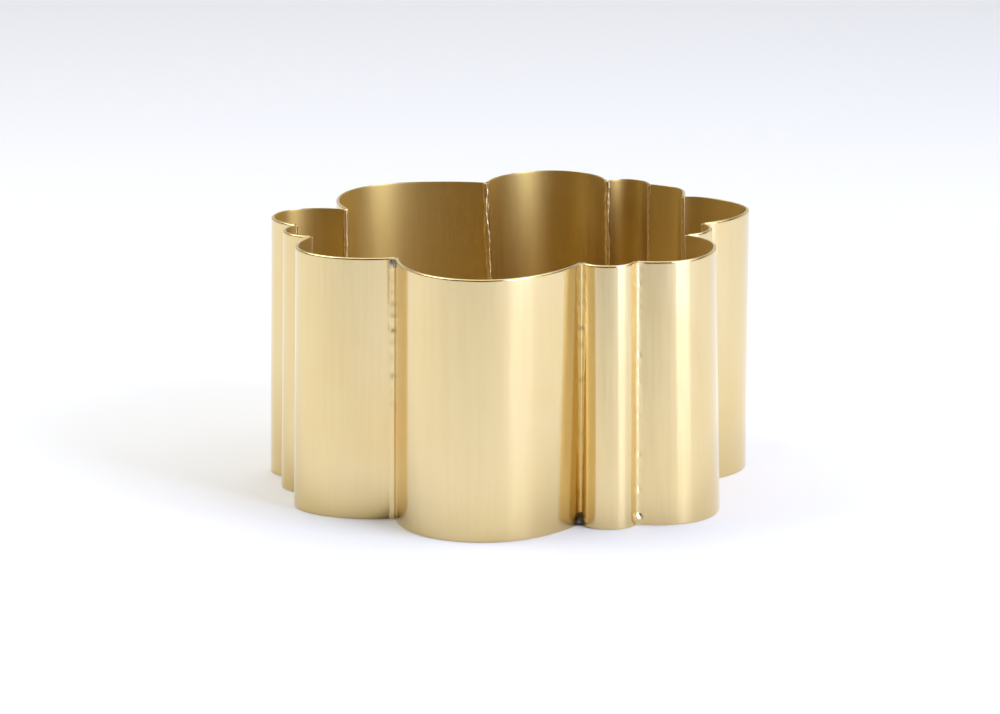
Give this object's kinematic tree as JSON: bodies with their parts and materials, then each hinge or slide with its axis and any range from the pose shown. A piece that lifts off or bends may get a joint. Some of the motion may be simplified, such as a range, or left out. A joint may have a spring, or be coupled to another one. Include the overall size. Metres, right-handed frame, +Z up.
{
  "type": "planter pot",
  "caption": "Open-topped brass planter pot with a cloud-shaped wall of rolled lobes soldered at the creases, on a flat soldered base plate.",
  "frame": {"origin": "on the underside, under the middle of the outline's bounding box", "axes": "+X to the right of the pot, +Y to its back, away from the broadest lobe, +Z up out of the mouth"},
  "size_m": [0.264, 0.2778, 0.146],
  "materials": {
    "polished_brass": "softly polished outside with faint upright buffing marks, finely brushed inside",
    "base_brass": "dull rolled sheet with solder haze near the wall",
    "solder": "hand-run brazing alloy, rubbed down, with small grey lumps"
  },
  "bodies": {
    "root": {"front_left_lobe": "polished_brass", "left_small_lobe": "polished_brass", "left_lobe": "polished_brass", "back_left_lobe": "polished_brass", "back_lobe": "polished_brass", "back_right_small_lobe": "polished_brass", "right_back_small_lobe": "polished_brass", "right_lobe": "polished_brass", "right_small_lobe": "polished_brass", "front_right_lobe": "polished_brass", "front_small_lobe": "polished_brass", "front_lobe": "polished_brass", "front_left_crease_solder": "solder", "left_front_crease_solder": "solder", "left_back_crease_solder": "solder", "back_left_crease_solder": "solder", "back_middle_crease_solder": "solder", "back_right_crease_solder": "solder", "right_corner_crease_solder": "solder", "right_back_crease_solder": "solder", "right_front_crease_solder": "solder", "front_right_crease_solder": "solder", "front_small_crease_solder": "solder", "front_middle_crease_solder": "solder", "base_plate": "base_brass", "base_solder_fillet": "solder"}
  },
  "joints": []
}
